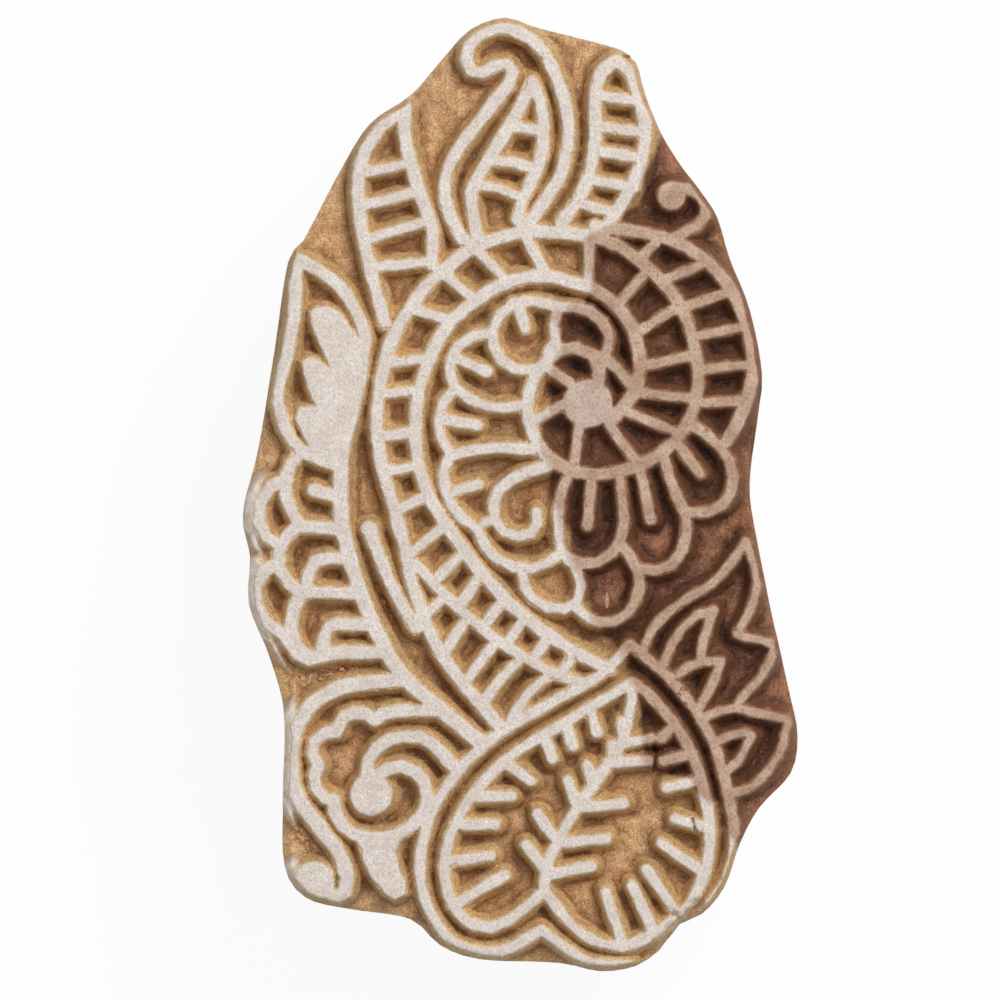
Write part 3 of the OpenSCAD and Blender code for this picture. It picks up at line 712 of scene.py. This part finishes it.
def back_handle():
    """The handle: the CAD solid remeshed finely, its arrises worn round and its faces knife-marked."""
    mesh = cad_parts["back_handle"].data.copy()
    work = bmesh.new()
    work.from_mesh(mesh)
    bmesh.ops.remove_doubles(work, verts=work.verts, dist=WELD * MM)
    work.to_mesh(mesh)
    work.free()
    piece = place_piece("worn_back_handle", "back_handle", mesh)
    remesh = piece.modifiers.new("fine", "REMESH")
    remesh.mode = "VOXEL"
    remesh.voxel_size = HANDLE_CELL * MM
    ease = piece.modifiers.new("worn", "SMOOTH")
    ease.factor = HANDLE_EASE
    ease.iterations = HANDLE_EASE_ROUNDS
    shaped = bpy.data.meshes.new_from_object(piece.evaluated_get(bpy.context.evaluated_depsgraph_get()))
    piece.modifiers.clear()
    piece.data = shaped
    points = np.empty(len(shaped.vertices) * 3)
    normals = np.empty(len(shaped.vertices) * 3)
    shaped.vertices.foreach_get("co", points)
    shaped.vertices.foreach_get("normal", normals)
    points, normals = points.reshape(-1, 3) / MM, normals.reshape(-1, 3)
    x, y, z = points.T
    facets = HANDLE_FACET * np.abs(noise(y, x + 2 * z, 4, seed=31))
    facets = facets + HANDLE_FIBRE * np.abs(noise(y / 3, 2 * x + 3 * z, 1, seed=32))
    points -= normals * facets[:, None]
    points = np.clip(points, HANDLE_LO, HANDLE_HI)
    shaped.vertices.foreach_set("co", (points * MM).ravel())
    shaped.update()
    shaped.shade_smooth()
    return piece


def handle_nails():
    """Four hand-made nails: a hammered, slightly domed head, a shank and a point."""
    low, high = (np.array(corner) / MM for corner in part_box("handle_nails"))
    radius = NAIL_HEAD / 2
    rings = [(radius * out, low[2] + NAIL_HEAD_T * up) for out, up in NAIL_DOME]
    rings += [(NAIL_SHANK / 2, low[2] + NAIL_HEAD_T), (NAIL_SHANK / 2, high[2] - NAIL_POINT)]
    rings += [(NAIL_BLUNT / 2, high[2])]
    turns = np.arange(NAIL_SIDES) * math.tau / NAIL_SIDES
    across, along = np.cos(turns), np.sin(turns)
    points, faces, caps = [], [], []
    for x in (low[0] + radius, high[0] - radius):
        for y in (low[1] + radius, high[1] - radius):
            first = len(points)
            struck_x, struck_y = x + NAIL_DENT_CIRCLE * across, y + NAIL_DENT_CIRCLE * along
            marks = noise(struck_x, struck_y, NAIL_DENT_SIZE, seed=41)
            for k, (out, z) in enumerate(rings):
                dent = NAIL_DENT if k < len(NAIL_DOME) else 0
                reach = out * (1 - dent * np.abs(marks))
                points += zip(x + reach * across, y + reach * along, np.full(NAIL_SIDES, z))
            for k in range(len(rings) - 1):
                for j in range(NAIL_SIDES):
                    a = first + k * NAIL_SIDES + j
                    b = first + k * NAIL_SIDES + (j + 1) % NAIL_SIDES
                    faces.append((a, b, b + NAIL_SIDES, a + NAIL_SIDES))
            caps.append(range(first, first + NAIL_SIDES)[::-1])
            caps.append(range(len(points) - NAIL_SIDES, len(points)))
    groups = [np.array(faces), np.array(caps)]
    return make_piece("forged_handle_nails", "handle_nails", np.array(points), groups)


def rgb(red, green, blue):
    """A colour as seen on a screen, 0 to 255, as the linear value that a shader takes."""
    parts = [v / 255 for v in (red, green, blue)]
    linear = [v / 12.92 if v <= 0.04045 else ((v + 0.055) / 1.055) ** 2.4 for v in parts]
    return (*linear, 1)


class Shader:
    """One material's nodes. A method that adds nodes returns the output socket of the last."""

    def __init__(self, name):
        self.material = bpy.data.materials.new(name)
        self.material.use_nodes = True
        self.tree = self.material.node_tree
        self.surface = self.tree.nodes["Principled BSDF"]

    def add(self, kind, inputs, output=0, **settings):
        """A node of any kind, with its settings made and its inputs fed."""
        node = self.tree.nodes.new(kind)
        for key, value in settings.items():
            setattr(node, key, value)
        for key, value in inputs.items():
            self.feed(node.inputs[key], value)
        return node.outputs[output]

    def feed(self, socket, value):
        """Links an input to another node's output, or sets it to a plain value."""
        if isinstance(value, bpy.types.NodeSocket):
            self.tree.links.new(value, socket)
        else:
            socket.default_value = value

    def place(self, stretch=(1, 1, 1)):
        """The place on the object in millimetres, squeezed along each axis by stretch."""
        spot = self.add("ShaderNodeTexCoord", {}, "Object")
        scale = tuple(s / MM for s in stretch)
        return self.add("ShaderNodeVectorMath", {0: spot, 1: scale}, operation="MULTIPLY")

    def value(self, attribute):
        """A value that the mesh carries at its vertices."""
        return self.add("ShaderNodeAttribute", {}, "Fac", attribute_name=attribute)

    def noise(self, spot, scale, detail=4.0, rough=0.6):
        """Noise about one half, with lumps of about a millimetre at scale 1."""
        inputs = {"Vector": spot, "Scale": scale, "Detail": detail, "Roughness": rough}
        return self.add("ShaderNodeTexNoise", inputs, "Fac")

    def span(self, value, low, high, to_low=0.0, to_high=1.0):
        """A value carried from one range to another, and held within it."""
        inputs = {0: value, 1: low, 2: high, 3: to_low, 4: to_high}
        return self.add("ShaderNodeMapRange", inputs)

    def mix(self, factor, a, b, blend="MIX"):
        """Colour a, turned to b by the factor."""
        inputs = {0: factor, 6: a, 7: b}
        return self.add("ShaderNodeMix", inputs, 2, data_type="RGBA", blend_type=blend)

    def two_tone(self, factor, colours):
        """A pair of screen colours, the first where the factor is 0 and the second where it is 1."""
        first, second = colours
        return self.mix(factor, rgb(*first), rgb(*second))

    def shaded(self, colour, pattern, dark, light):
        """A colour made darker and lighter by a pattern of noise."""
        level = self.span(pattern, 0.3, 0.7, dark, light)
        grey = self.add("ShaderNodeCombineColor", {0: level, 1: level, 2: level})
        return self.mix(1.0, colour, grey, "MULTIPLY")

    def maths(self, operation, a, b):
        """Two values joined by an operation."""
        return self.add("ShaderNodeMath", {0: a, 1: b}, operation=operation)

    def finish(self, colour, rough, bump, strength, height, shine):
        """Feeds the surface its colour, roughness, bump and shine, and returns the material."""
        inputs = {"Strength": strength, "Distance": height * MM, "Height": bump}
        normal = self.add("ShaderNodeBump", inputs)
        self.feed(self.surface.inputs["Base Color"], colour)
        self.feed(self.surface.inputs["Roughness"], rough)
        self.feed(self.surface.inputs["Normal"], normal)
        self.surface.inputs["Specular IOR Level"].default_value = shine
        return self.material


def wood_grain(shader):
    """Three scales of grain along y: broad tone, fibres, and open pores that are 1 where dark."""
    tone = shader.noise(shader.place((1, 0.15, 1)), 0.22, 3.0)
    fibres = shader.noise(shader.place((1, 0.14, 1)), 2.6, 5.0, 0.7)
    pores = shader.span(shader.noise(shader.place((1, 0.3, 1)), 4.2, 2.0), 0.62, 0.72)
    return tone, fibres, pores


def cut_wood(s, core):
    """The colour of a cut: a pale lip, a wall with a foot darkened by grime and painted shade, a mottled
    floor and painted shade in narrow cells.
    """
    patches = s.noise(s.place(), 0.5, 6.0, 0.68)
    waver = s.span(s.noise(s.place(), 0.9, 4.0), 0.3, 0.7, -0.16, 0.16)
    away = s.maths("ADD", s.value("away"), waver)
    floor = s.two_tone(core, FLOOR_WOOD)
    deep = s.two_tone(core, DEEP_WOOD)
    floor = s.mix(s.span(patches, 0.42, 0.64), floor, deep)
    wall = s.two_tone(core, WALL_WOOD)
    lip = s.two_tone(core, LIP_WOOD)
    wall = s.mix(s.span(away, 0.0, 0.22), lip, wall)
    colour = s.mix(s.span(away, 0.46, 0.8), wall, floor)
    # The foot of each wall, darkened by grime and painted shade.
    foot = s.maths("MULTIPLY", s.span(away, 0.46, 0.74), s.span(away, 1.6, 0.7))
    foot = s.maths("MULTIPLY", foot, s.span(patches, 0.34, 0.6, 0.3, 0.95))
    colour = s.mix(foot, colour, s.two_tone(core, FOOT_GRIME_AND_SHADE))
    # Painted shade in the middle of narrow cells.
    cell_shade = s.maths("MULTIPLY", s.value("cell_shade"), s.span(core, 0.0, 1.0, 0.84, 0.98))
    return s.mix(cell_shade, colour, s.two_tone(core, PAINTED_CELL_SHADE))


def rim_wear(s, core, colour):
    """A colour bleached and worn towards the rim of the face, with the stains there."""
    edge = s.value("edge")
    bleached = s.maths("MULTIPLY", core, s.span(edge, 0.3, 1.6, 0.2, 0.0))
    colour = s.mix(bleached, colour, rgb(*BLEACHED))
    worn = s.span(edge, 0.1, 0.6, 0.6, 0.0)
    colour = s.mix(worn, colour, s.two_tone(core, WORN_WOOD))
    return s.mix(s.maths("MULTIPLY", s.value("stained"), 0.75), colour, rgb(*STAIN))


def mottled(s, core, colour, specks):
    """A colour with ruddy patches, fine specks, dirt and pale dust."""
    ruddy = s.span(s.noise(s.place(), 1.2, 5.0, 0.7), 0.5, 0.64, 0.0, 0.5)
    colour = s.mix(ruddy, colour, s.two_tone(core, RUDDY_WOOD))
    colour = s.shaded(colour, specks, 0.46, 1.5)
    dirt = s.span(s.noise(s.place(), 2.1, 4.0, 0.7), 0.56, 0.68, 0.0, 0.5)
    colour = s.mix(dirt, colour, s.two_tone(core, DIRT))
    dust = s.span(s.noise(s.place(), 3.4, 3.0), 0.6, 0.7, 0.0, 0.45)
    return s.mix(dust, colour, s.two_tone(core, DUST))


def carved_wood():
    """Two-toned block wood: golden sapwood and red-brown heartwood, darkest at the foot of the walls, where
    grime and painted shade lie, and with painted shade in narrow cells.
    """
    s = Shader("block_wood")
    tone, fibres, pores = wood_grain(s)
    core = s.value("heart")
    specks = s.noise(s.place(), 5.5, 3.0, 0.7)
    colour = rim_wear(s, core, cut_wood(s, core))
    colour = s.shaded(colour, tone, 0.86, 1.1)
    colour = s.shaded(colour, fibres, 0.82, 1.14)
    colour = mottled(s, core, colour, specks)
    colour = s.mix(s.value("side"), colour, sawn_side(s, core, fibres))
    colour = s.mix(s.maths("MULTIPLY", pores, 0.45), colour, rgb(*PORE))
    grit = s.maths("MULTIPLY", s.value("dusty"), s.span(s.noise(s.place(), 2.4, 2.0), 0.53, 0.58))
    colour = s.mix(grit, colour, rgb(*SAWDUST_GRIT))
    smear = s.maths("MULTIPLY", s.value("smeared"), s.span(specks, 0.3, 0.6, 0.6, 1.0))
    colour = s.mix(smear, colour, rgb(*SMEARED_CHALK))
    rough = s.span(fibres, 0.3, 0.7, 0.62, 0.85)
    return s.finish(colour, rough, s.maths("ADD", fibres, specks), 0.6, 0.12, 0.2)


def sawn_side(s, core, fibres):
    """The colour of the sawn side: growth rings, upright saw marks and stains from handling."""
    from_pith = s.add("ShaderNodeVectorMath", {0: s.place(), 1: PITH}, operation="SUBTRACT")
    inputs = {
        "Vector": from_pith,
        "Scale": WAVE_UNIT / RING_STEP,
        "Distortion": 2.2,
        "Detail": 3.0,
        "Detail Scale": 0.9,
    }
    settings = {"wave_type": "RINGS", "rings_direction": "Y", "wave_profile": "SAW"}
    rings = s.add("ShaderNodeTexWave", inputs, "Fac", **settings)
    saw = s.noise(s.place((1, 1, 0.04)), 1.6, 3.0)
    handled = s.noise(s.place(), 0.12, 3.0)
    colour = s.two_tone(core, SAWN_WOOD)
    stain = s.two_tone(core, HANDLED_WOOD)
    colour = s.mix(s.span(handled, 0.42, 0.68, 0.0, 0.6), colour, stain)
    colour = s.shaded(colour, rings, 0.8, 1.12)
    colour = s.shaded(colour, fibres, 0.76, 1.16)
    return s.shaded(colour, saw, 0.9, 1.06)


def chalk():
    """The coat: granular chalk, pale over sapwood and tan over heartwood, with pits and rubbed edges."""
    s = Shader("chalk_coat")
    heart_side = s.value("heart")
    grains = s.noise(s.place(), 3.2, 5.0, 0.7)
    cloud = s.noise(s.place(), 0.45, 3.0)
    pale = s.two_tone(s.span(cloud, 0.35, 0.65), PALE_CHALK)
    tan = s.two_tone(s.span(cloud, 0.35, 0.65), TAN_CHALK)
    colour = s.mix(heart_side, pale, tan)
    border = s.maths("MULTIPLY", heart_side, s.maths("SUBTRACT", 1.0, heart_side))
    colour = s.mix(s.maths("MULTIPLY", border, 2.0), colour, rgb(*BORDER_CHALK))
    colour = s.shaded(colour, grains, 0.87, 1.07)
    colour = s.shaded(colour, s.noise(s.place(), 5.5, 3.0, 0.75), 0.7, 1.18)
    ruddy = s.span(s.noise(s.place(), 1.1, 4.0, 0.7), 0.52, 0.66, 0.0, 0.3)
    colour = s.mix(ruddy, colour, s.two_tone(heart_side, RUDDY_CHALK))
    pits = s.span(s.noise(s.place((1, 0.7, 1)), 4.2, 2.0, 0.5), 0.56, 0.7)
    stain = s.two_tone(heart_side, PITTED_CHALK)
    strength = s.span(heart_side, 0.0, 1.0, 0.4, 0.55)
    colour = s.mix(s.maths("MULTIPLY", pits, strength), colour, stain)
    fray = s.span(grains, 0.3, 0.7, -0.06, 0.06)
    rubbed = s.span(s.maths("ADD", s.value("inset"), fray), 0.0, 0.16, 0.7, 0.0)
    bare = s.two_tone(heart_side, BARE_CHALK)
    colour = s.mix(rubbed, colour, bare)
    rough = s.span(grains, 0.3, 0.7, 0.8, 0.95)
    return s.finish(colour, rough, grains, 0.6, 0.1, 0.1)


def handle_wood():
    """Hand-darkened handle wood, its grain along the handle, with grime and pale rubbed streaks."""
    s = Shader("handle_wood")
    tone, fibres, pores = wood_grain(s)
    streaks = s.noise(s.place((1, 0.05, 1)), 0.9, 4.0, 0.65)
    grime = s.noise(s.place(), 0.16, 5.0, 0.65)
    colour = s.two_tone(s.span(tone, 0.3, 0.7), HANDLE_WOOD)
    colour = s.shaded(colour, streaks, 0.66, 1.16)
    colour = s.shaded(colour, fibres, 0.74, 1.16)
    colour = s.mix(s.span(grime, 0.46, 0.68, 0.0, 0.6), colour, rgb(*HANDLE_GRIME))
    colour = s.mix(s.span(grime, 0.42, 0.3, 0.0, 0.45), colour, rgb(*HANDLE_RUBBED))
    colour = s.mix(s.maths("MULTIPLY", pores, 0.65), colour, rgb(*HANDLE_PORE))
    rough = s.span(fibres, 0.3, 0.7, 0.42, 0.62)
    return s.finish(colour, rough, fibres, 0.5, 0.12, 0.4)


def nail_iron():
    """Dark forged iron with brown rust in its hollows."""
    s = Shader("nail_iron")
    scale = s.noise(s.place(), 1.6, 5.0, 0.65)
    colour = s.two_tone(s.span(scale, 0.4, 0.62), IRON_AND_RUST)
    s.feed(s.surface.inputs["Metallic"], s.span(scale, 0.4, 0.62, 0.85, 0.2))
    rough = s.span(scale, 0.3, 0.7, 0.4, 0.75)
    return s.finish(colour, rough, scale, 0.6, 0.12, 0.5)


def straight_view(tree):
    """A socket that is 1 for rays from the camera, mirrors and glass, and 0 for all other light."""
    rays = tree.nodes.new("ShaderNodeLightPath")
    seen = rays.outputs["Is Camera Ray"]
    for kind in ("Is Glossy Ray", "Is Transmission Ray"):
        larger = tree.nodes.new("ShaderNodeMath")
        larger.operation = "MAXIMUM"
        tree.links.new(seen, larger.inputs[0])
        tree.links.new(rays.outputs[kind], larger.inputs[1])
        seen = larger.outputs[0]
    return seen


def stage():
    """A plain pale floor that the camera sees as white with a faint shadow."""
    bpy.ops.mesh.primitive_plane_add(size=STAGE_WIDTH * MM)
    floor = bpy.context.object
    floor.name = "floor"
    s = Shader("floor")
    s.surface.inputs["Base Color"].default_value = (STAGE_GREY, STAGE_GREY, STAGE_GREY, 1)
    s.surface.inputs["Roughness"].default_value = 0.9
    s.surface.inputs["Specular IOR Level"].default_value = 0.0
    white = s.add("ShaderNodeEmission", {"Color": (1, 1, 1, 1), "Strength": 1.0})
    factor = s.maths("MULTIPLY", straight_view(s.tree), STAGE_WHITE)
    both = s.add("ShaderNodeMixShader", {0: factor, 1: s.surface.outputs[0], 2: white})
    s.feed(s.tree.nodes["Material Output"].inputs["Surface"], both)
    floor.data.materials.append(s.material)


def lamp(name, place, size, power):
    """A square soft lamp, turned to the middle of the block's face."""
    data = bpy.data.lights.new(name, "AREA")
    data.size = size * MM
    data.energy = power
    made = bpy.data.objects.new(name, data)
    made.location = Vector(place) * MM
    aim = Vector((0, 0, FACE)) * MM - made.location
    made.rotation_euler = aim.to_track_quat("-Z", "Y").to_euler()
    bpy.context.collection.objects.link(made)


def light():
    """A key lamp from the upper right, a softbox above and a pale sky."""
    lamp("key", *KEY_LAMP)
    lamp("softbox", *SOFTBOX)
    world = bpy.data.worlds.new("studio")
    world.use_nodes = True
    tree = world.node_tree
    backdrop = tree.nodes["Background"]
    backdrop.inputs["Color"].default_value = (1, 1, 1, 1)
    strength = tree.nodes.new("ShaderNodeMapRange")
    strength.inputs["To Min"].default_value = SKY_LIGHT
    strength.inputs["To Max"].default_value = SKY_BACKDROP
    tree.links.new(straight_view(tree), strength.inputs["Value"])
    tree.links.new(strength.outputs[0], backdrop.inputs["Strength"])
    bpy.context.scene.world = world


def camera():
    """The camera of the photograph, straight above the block."""
    data = bpy.data.cameras.new("camera")
    data.sensor_width = SENSOR
    data.lens = SENSOR * VIEW_HEIGHT / VIEW_WIDTH
    made = bpy.data.objects.new("camera", data)
    made.location = Vector((*VIEW_CENTRE, FACE + VIEW_HEIGHT)) * MM
    bpy.context.collection.objects.link(made)
    bpy.context.scene.camera = made


for piece, material in (
    (carved_block(), carved_wood()),
    (tracing_coat(), chalk()),
    (back_handle(), handle_wood()),
    (handle_nails(), nail_iron()),
):
    piece.data.materials.clear()
    piece.data.materials.append(material)

stage()
light()
camera()
bpy.context.scene.view_settings.view_transform = "Standard"
